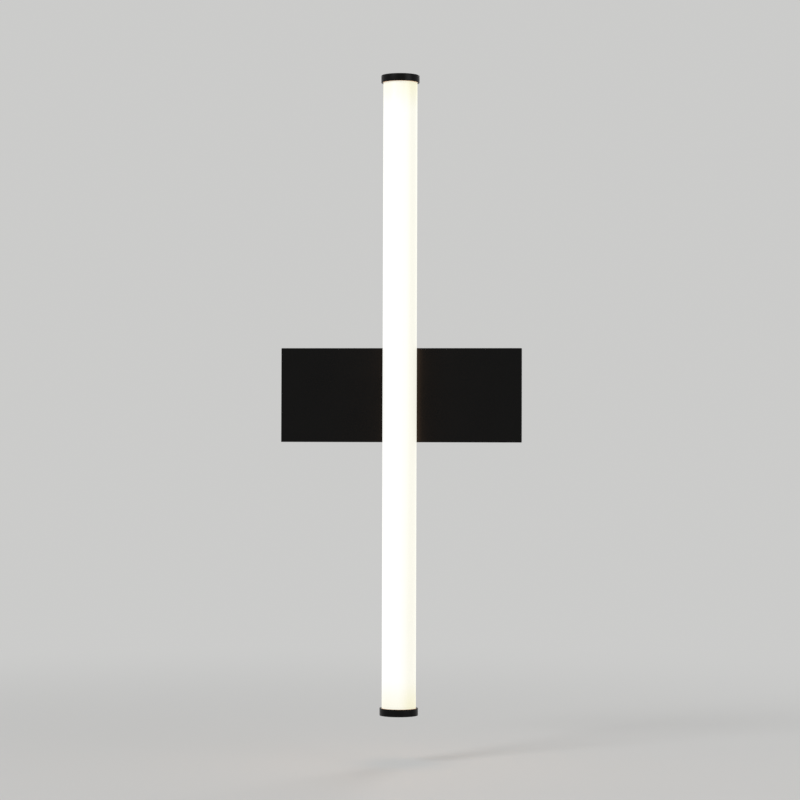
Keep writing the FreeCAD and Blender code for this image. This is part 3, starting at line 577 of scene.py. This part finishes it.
board_green = grained("green_board", (0.03, 0.16, 0.06), 0.35, 0.5, 0.01, 0.25)
eased_piece("driver_board", "wall_box", board_green, 0.1, 1)
winding = grained("wound_core", (0.42, 0.26, 0.05), 0.4, 0.4, 0.03, 0.3)
eased_piece("driver_transformer", "wall_box", winding, 0.5)
sleeve_dark = grained("capacitor_sleeve", (0.03, 0.035, 0.06), 0.3, 0.4, 0.005, 0.1)
eased_piece("driver_capacitors", "wall_box", sleeve_dark, 0.5)
DRIVER_SCREW_HEAD, EAR_FACE = 2.85, 37.8
driver_z = centre_of("driver_case")[2]
driver_screw_x = (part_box("driver_screws")[1][0] / MM) - DRIVER_SCREW_HEAD
scattered("driver_screws_piece",
          [((side * driver_screw_x, EAR_FACE, driver_z), TOWARD_WALL) for side in (-1, 1)],
          pan_screw("driver_screw", DRIVER_SCREW_HEAD, 2.0, 1.5, 2.7, 1.3, 0.5), bright_zinc,
          "driver_screws", "wall_box")


# ---- Terminal block -----------------------------------------------------------------------
# Pale moulded block on the bracket with three poles, two clamp screws in each.

block_plastic = grained("terminal_plastic", (0.66, 0.63, 0.55), 0.45, 0.3, 0.015, 0.05)
eased_piece("terminal_block", "wall_box", block_plastic, 0.4)
eased_piece("terminal_screws", "wall_box", bright_zinc, 0.12, 2)


# ---- Earth point --------------------------------------------------------------------------
# Screw through the bracket with a crimped brass ring and a nut for the earth lead.

brass = plated_steel("brass_tag", (0.68, 0.5, 0.2), 0.3)
eased_piece("earth_ring", "wall_box", brass, 0.15, 2)
EARTH_NUT_SEAT, EARTH_SCREW_END = 2.8, 0.25
earth_x, _, earth_z = centre_of("earth_nut")
scattered("earth_nut_piece", [((earth_x, EARTH_NUT_SEAT, earth_z), INTO_ROOM)],
          hexagon_nut("earth_hexagon", 7, 3.2, 2.1), bright_zinc, "earth_nut", "wall_box")
scattered("earth_screw_piece", [((earth_x, EARTH_SCREW_END, earth_z), INTO_ROOM)],
          threaded_rod("earth_rod", 2.0, 9, 0.7), bright_zinc, "earth_screw", "wall_box")


# ---- Pivot --------------------------------------------------------------------------------
# A plastic bushing in cover and box carries a hollow threaded nipple. On it, inside the box,
# sit a disc spring, a washer whose tab meets two pins, a toothed washer and a nut.

slide_plastic = grained("slide_plastic", (0.7, 0.68, 0.62), 0.42, 0.3, 0.01, 0.04)
eased_piece("pivot_bushing", "wall_box", slide_plastic, 0.25)
eased_piece("stop_pins", "wall_box", bright_zinc, 0.3)
nipple_low, nipple_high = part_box("pivot_nipple")
scattered("pivot_nipple_piece", [((0, -nipple_high[1] / MM, 0), INTO_ROOM)],
          threaded_rod("nipple", 5.0, (nipple_high[1] - nipple_low[1]) / MM, 1.0, 3.5), bright_zinc,
          "pivot_nipple", "lit_tube")
spring_steel = plated_steel("spring_steel", (0.36, 0.36, 0.37), 0.36)
eased_piece("disc_spring", "lit_tube", spring_steel, 0.12, 2)
eased_piece("stop_washer", "lit_tube", bright_zinc, 0.2, 2)
eased_piece("lock_washer", "lit_tube", bright_zinc, 0.12, 2)
PIVOT_NUT_SEAT = 33.3
scattered("pivot_nut_piece", [((0, PIVOT_NUT_SEAT, 0), TOWARD_WALL)],
          hexagon_nut("pivot_hexagon", 14, 4, 5.05), bright_zinc, "pivot_nut", "lit_tube")
eased_piece("lead_sleeve", "lit_tube", slide_plastic, 0.2, 2)


# ---- Saddle -------------------------------------------------------------------------------
# Coated cast block on the nipple. Its hollow face seats the tube and its neck reaches through
# the slot in the tube's back to the profile, which two socket screws pull onto it.

eased_piece("tube_saddle", "lit_tube", black_coat, 0.5)
eased_piece("saddle_screws", "lit_tube", bright_zinc, 0.15, 2)


# ---- Core profile -------------------------------------------------------------------------
# Drawn square aluminium tube, clear anodised. It carries the strips and takes their heat.

drawn = plated_steel("anodised_profile", (0.74, 0.75, 0.76), 0.36, "Z")
eased_piece("core_profile", "lit_tube", drawn, 0.3, 2)


# ---- Light strips -------------------------------------------------------------------------
# White flexible boards stuck on the four sides of the profile, with copper joints and chip
# resistors at every cut, and a half round phosphor bead poured along the middle of each.

def copper_pad(name):
    """Tinned copper joint, 2.2 by 1.6 mm with cut corners, lying on the XY plane."""
    shape = bmesh.new()
    wide, deep, cut, tall = 1.1, 0.8, 0.3, 0.05
    corners = [(wide, deep - cut), (wide - cut, deep), (cut - wide, deep), (-wide, deep - cut),
               (-wide, cut - deep), (cut - wide, -deep), (wide - cut, -deep), (wide, cut - deep)]
    low = [shape.verts.new((x * MM, y * MM, -0.01 * MM)) for x, y in corners]
    high = [shape.verts.new((x * MM * 0.97, y * MM * 0.97, tall * MM)) for x, y in corners]
    shape.faces.new(high)
    shape.faces.new(low[::-1])
    for index in range(8):
        following = (index + 1) % 8
        shape.faces.new((low[index], low[following], high[following], high[index]))
    mesh = bpy.data.meshes.new(name)
    shape.to_mesh(mesh)
    shape.free()
    return mesh


def chip_resistor(name):
    """Flat chip 1.6 by 0.8 mm with its two metal ends standing a little proud."""
    shape = bmesh.new()
    for spot, size in (((0, 0, 0.21), (1.0, 0.78, 0.42)), ((0.62, 0, 0.22), (0.34, 0.84, 0.46)),
                       ((-0.62, 0, 0.22), (0.34, 0.84, 0.46))):
        bmesh.ops.create_cube(shape, size=1.0, matrix=Matrix.Translation([value * MM for value in spot])
                              @ Matrix.Diagonal([value * MM for value in size] + [1]))
        if spot[0] == 0:
            bmesh.ops.bevel(shape, geom=shape.edges[:], offset=0.05 * MM, segments=1, affect="EDGES")
    bmesh.ops.recalc_face_normals(shape, faces=shape.faces)
    mesh = bpy.data.meshes.new(name)
    shape.to_mesh(mesh)
    shape.free()
    return mesh


STRIPS = ["led_strip_" + side for side in ("front", "left", "right", "back_upper", "back_lower")]
board_white = grained("strip_lacquer", (0.84, 0.84, 0.82), 0.38, 0.6, 0.012, 0.04)
for strip in STRIPS:
    eased_piece(strip, "lit_tube", board_white, 0.1, 1)

CUT_LENGTH = 16.67
PAD_ACROSS, PAD_ALONG, CHIP_ACROSS = 3.3, 1.25, 3.4
SIDES = {"front": (0, (0, 1), (1, 0)), "left": (-90, (-1, 0), (0, 1)),
         "right": (90, (1, 0), (0, 1)), "back": (180, (0, -1), (1, 0))}
pad_places, chip_places = [], []
for strip in STRIPS:
    corners = [[value / MM for value in corner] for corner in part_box(strip)]
    (low_x, low_y, low_z), (high_x, high_y, high_z) = corners
    turn, outward, sideways = SIDES[strip.split("_")[2]]
    angles = (90, 0, turn)
    middle_x, middle_off = (low_x + high_x) / 2, -(low_y + high_y) / 2
    face_x = middle_x + outward[0] * (high_x - low_x) / 2
    face_off = middle_off + outward[1] * (high_y - low_y) / 2
    count = int((high_z - low_z) / CUT_LENGTH)
    start = low_z + ((high_z - low_z) - count * CUT_LENGTH) / 2
    for step in range(count + 1):
        cut = start + step * CUT_LENGTH
        for across in (-PAD_ACROSS, PAD_ACROSS):
            spot = (face_x + sideways[0] * across, face_off + sideways[1] * across)
            for along in (-PAD_ALONG, PAD_ALONG):
                if low_z + 1 < cut + along < high_z - 1:
                    pad_places.append(((*spot, cut + along), angles))
        if step < count:
            for across, part in ((-CHIP_ACROSS, 0.35), (CHIP_ACROSS, 0.65)):
                spot = (face_x + sideways[0] * across, face_off + sideways[1] * across)
                chip_places.append(((*spot, cut + part * CUT_LENGTH), angles))
tinned = plated_steel("tinned_copper", (0.75, 0.52, 0.36), 0.34)
scattered("strip_pads", pad_places, copper_pad("pad"), tinned, STRIPS, "lit_tube")
chip_black = grained("chip_body", (0.03, 0.03, 0.032), 0.4, 0.2, 0.01)
scattered("strip_chips", chip_places, chip_resistor("chip"), chip_black, STRIPS, "lit_tube")

phosphor = grained("phosphor_bead", (0.9, 0.72, 0.2), 0.35, 0.5, 0.02, 0.06)
phosphor_shader = phosphor.node_tree.nodes["Principled BSDF"]
phosphor_shader.inputs["Emission Color"].default_value = rgb(1.0, 0.9, 0.7)
phosphor_shader.inputs["Emission Strength"].default_value = 0.9
eased_piece("led_beads", "lit_tube", phosphor, 0.15, 2)


# ---- Diffuser tube ------------------------------------------------------------------------
# Opal extruded tube, satin outside, lit from within. It looks whitest along its front left and
# turns creamy toward the right and past the ends of the strips. What the camera sees of it is
# that cream; the light that it throws on the cover and floor is a warmer, stronger colour.

TUBE_OFF, TUBE_RADIUS, TUBE_BORE = 60, 16.0, 14.0
STRIP_END, TUBE_END_LIT = 262, 292


def lit_opal(name):
    """Opal that glows; angles run round the tube from its front, in radians, right positive."""
    material, tree, shader = new_material(name, Base_Color=rgb(0.30, 0.295, 0.28), Roughness=0.34)
    place = add_node(tree, "ShaderNodeTexCoord").outputs["Object"]
    parts = add_node(tree, "ShaderNodeSeparateXYZ", Vector=place)
    depth = math_node(tree, "SUBTRACT", -TUBE_OFF * MM, parts.outputs["Y"])
    around = math_node(tree, "ARCTAN2", parts.outputs["X"], depth)
    right = math_node(tree, "MULTIPLY", step_between(tree, around, 0.0, 0.75),
                      step_between(tree, around, 1.6, 3.1, 1.0, 0.5))
    left = step_between(tree, around, -1.1, -1.5, 0.0, 0.5)
    height = math_node(tree, "ABSOLUTE", parts.outputs["Z"])
    end = step_between(tree, height, STRIP_END * MM, TUBE_END_LIT * MM)
    warm = math_node(tree, "MAXIMUM", right, left)
    warm = math_node(tree, "ADD", math_node(tree, "MULTIPLY", warm, 0.42),
                     math_node(tree, "MULTIPLY", end, 0.5), clamp=True)
    cream = mix_colours(tree, warm, rgb(0.80, 0.80, 0.795), rgb(0.72, 0.69, 0.48))
    seen = add_node(tree, "ShaderNodeLightPath")
    tree.links.new(mix_colours(tree, seen.outputs["Is Camera Ray"], rgb(3.4, 2.15, 1.3), cream),
                   shader.inputs["Emission Color"])
    shader.inputs["Emission Strength"].default_value = 1.0
    haze = noise(tree, stretched(tree, place, "Z"), 2.5)
    rough = math_node(tree, "ADD", math_node(tree, "MULTIPLY", haze, 0.12), 0.28)
    tree.links.new(rough, shader.inputs["Roughness"])
    bump(tree, shader, haze, 0.01)
    return material


opal = lit_opal("lit_opal")
tube_low, tube_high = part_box("diffuser_tube")
tube_axis = Matrix.Translation((0, tube_low[1] + TUBE_RADIUS * MM, 0))
tube_end = tube_high[2] / MM
tube_wall = eased_corners([(TUBE_BORE, -tube_end, 0.3), (TUBE_RADIUS, -tube_end, 0.3),
                           (TUBE_RADIUS, tube_end, 0.3), (TUBE_BORE, tube_end, 0.3)])
tube_mesh = ring_profile("opal_tube", tube_wall, 128, tube_axis)
NECK_HALF_WIDTH, NECK_HALF_HEIGHT = 6.25, 13.3
SLOT_STARTS, SLOT_ENDS, SLOT_POINTS = -0.040, -0.0525, 48
outline = []
for turn in range(SLOT_POINTS):
    angle = 2 * math.pi * (turn + 0.5) / SLOT_POINTS
    rise = math.copysign(NECK_HALF_HEIGHT - NECK_HALF_WIDTH, math.sin(angle))
    outline.append((NECK_HALF_WIDTH * math.cos(angle), NECK_HALF_WIDTH * math.sin(angle) + rise))
cutter = bmesh.new()
near = [cutter.verts.new((x * MM, SLOT_STARTS, z * MM)) for x, z in outline]
far = [cutter.verts.new((x * MM, SLOT_ENDS, z * MM)) for x, z in outline]
cutter.faces.new(near)
cutter.faces.new(far[::-1])
for index in range(SLOT_POINTS):
    following = (index + 1) % SLOT_POINTS
    cutter.faces.new((near[index], far[index], far[following], near[following]))
bmesh.ops.recalc_face_normals(cutter, faces=cutter.faces)
tube_mesh = cut_by(tube_mesh, "opal_tube", cutter)
smooth_faces(tube_mesh, 30)
tube_mesh.materials.append(opal)
as_piece("diffuser_tube_piece", tube_mesh, "diffuser_tube", "lit_tube")


# ---- End plugs and seals ------------------------------------------------------------------
# White moulded plugs centre the profile in the tube. A soft pale ring lies between the
# tube's end and the cap.

eased_piece("end_plug_top", "lit_tube", white_plastic, 0.3, 2)
eased_piece("end_plug_bottom", "lit_tube", white_plastic, 0.3, 2)
pale_rubber = grained("pale_seal", (0.66, 0.66, 0.65), 0.6, 0.3, 0.02, 0.05)
eased_piece("cap_seals", "lit_tube", pale_rubber, 0.12, 2)


# ---- End caps -----------------------------------------------------------------------------
# Turned caps, powder coated like the box. Each fits over the tube's end, with its outer edge
# broken by a small radius, and is held by one countersunk screw into the plug.

CAP_TOP, CAP_RIM, CAP_FLOOR = 300.0, 293.0, 297.5
CAP_RADIUS, CAP_BORE, SINK_RADIUS, CAP_HOLE = 18.0, 16.05, 3.95, 2.05


def cap_mesh(name, side):
    """Turned cap whose closed end is at the given side, +1 at the top."""
    corners = [(CAP_BORE, CAP_RIM, 0.25), (CAP_RADIUS, CAP_RIM, 0.35), (CAP_RADIUS, CAP_TOP, 0.45),
               (SINK_RADIUS, CAP_TOP, 0.15), (CAP_HOLE, CAP_TOP - 1.9, 0), (CAP_HOLE, CAP_FLOOR, 0.1),
               (CAP_BORE, CAP_FLOOR, 0.2)]
    profile = eased_corners([(radius, side * height, rounding) for radius, height, rounding in corners], 6)
    mesh = ring_profile(name, profile, 128, tube_axis)
    mesh.materials.append(cap_coat)
    return mesh


cap_coat = powder_coat("cap_powder", roughness=0.32)
as_piece("end_cap_top_piece", cap_mesh("cap_top", 1), "end_cap_top", "lit_tube")
as_piece("end_cap_bottom_piece", cap_mesh("cap_bottom", -1), "end_cap_bottom", "lit_tube")


def sunk_screw(name, head, radius, length, socket):
    """Countersunk socket screw with its flat face on the XY plane and its shank below."""
    cone = head - radius
    profile = [(0, 0), (head - 0.1, 0), (head, -0.15), (radius, -cone)]
    turns = int((length - cone) / 0.7)
    for turn in range(turns):
        base = -cone - turn * (length - cone) / turns
        profile += [(radius - 0.25, base - 0.15), (radius - 0.02, base - 0.35),
                    (radius - 0.02, base - 0.42), (radius - 0.25, base - 0.6)]
    profile += [(radius - 0.4, -length), (0, -length)]
    mesh = ring_profile(name, [(r * MM, z * MM) for r, z in profile], 48, UPRIGHT)
    cutter = bmesh.new()
    corner = socket / 2 / math.cos(math.pi / 6) * MM
    bmesh.ops.create_cone(cutter, cap_ends=True, segments=6, radius1=corner, radius2=corner, depth=2.6 * MM)
    result = cut_by(mesh, name, cutter)
    smooth_faces(result, 28)
    return result


scattered("cap_screws_piece",
          [((0, TUBE_OFF, CAP_TOP), (0, 0, 0)), ((0, TUBE_OFF, -CAP_TOP), (180, 0, 0))],
          sunk_screw("cap_screw", 3.75, 2.0, 12.0, 2.5), black_zinc, "cap_screws", "lit_tube")


# ---- Leads --------------------------------------------------------------------------------
# Sleeved copper leads: brown and blue from the terminal block to the driver, green and yellow
# for the earth, and the red and black low voltage pair through the pivot into the profile.

def lead_colours(name, first, second, edge):
    """Glossy sleeve in two colours, the second where the mesh's own mark is past the edge."""
    material, tree, shader = new_material(name, Roughness=0.36)
    place = add_node(tree, "ShaderNodeTexCoord").outputs["Object"]
    haze = noise(tree, place, 3)
    mark = add_node(tree, "ShaderNodeAttribute", attribute_name="second_colour").outputs["Fac"]
    pick = step_between(tree, mark, edge - 0.03, edge + 0.03)
    colour = mix_colours(tree, pick, rgb(*first), rgb(*second))
    worn = mix_colours(tree, math_node(tree, "MULTIPLY", haze, 0.12), colour, rgb(0.4, 0.4, 0.4))
    tree.links.new(worn, shader.inputs["Base Color"])
    tree.links.new(math_node(tree, "MULTIPLY_ADD", haze, 0.2, 0.28), shader.inputs["Roughness"])
    bump(tree, shader, haze, 0.02)
    return material


def mark_leads(mesh, striped):
    """Marks every other lead of a mesh, or on a striped lead the side that faces up."""
    marks = mesh.attributes.new("second_colour", "FLOAT", "POINT")
    if striped:
        for index, vertex in enumerate(mesh.vertices):
            marks.data[index].value = 0.5 + 0.5 * vertex.normal.z
        return
    shape = bmesh.new()
    shape.from_mesh(mesh)
    shape.verts.ensure_lookup_table()
    leads, taken = 0, set()
    for vertex in shape.verts:
        if vertex.index in taken:
            continue
        spread = [vertex]
        taken.add(vertex.index)
        while spread:
            here = spread.pop()
            marks.data[here.index].value = leads % 2
            for edge in here.link_edges:
                other = edge.other_vert(here)
                if other.index not in taken:
                    taken.add(other.index)
                    spread.append(other)
        leads += 1
    shape.free()


BROWN, BLUE, GREEN, YELLOW = (0.10, 0.035, 0.015), (0.02, 0.08, 0.42), (0.02, 0.22, 0.05), (0.62, 0.52, 0.03)
RED, BLACK = (0.42, 0.015, 0.012), (0.012, 0.012, 0.013)
mains_colours = lead_colours("mains_sleeve", BROWN, BLUE, 0.5)
earth_colours = lead_colours("earth_sleeve", GREEN, YELLOW, 0.72)
low_colours = lead_colours("low_sleeve", RED, BLACK, 0.5)
for node, body, slot, colours in (("mains_leads", "wall_box", "mains_wire", mains_colours),
                                  ("earth_lead", "wall_box", "earth_wire", earth_colours),
                                  ("output_leads", "wall_box", "low_wire", low_colours),
                                  ("tube_leads", "lit_tube", "low_wire", low_colours)):
    leads = eased_copy(node, 0.05, 1, 50)
    mark_leads(leads, node == "earth_lead")
    leads.materials.append(colours)
    as_piece(node + "_piece", leads, node, body)
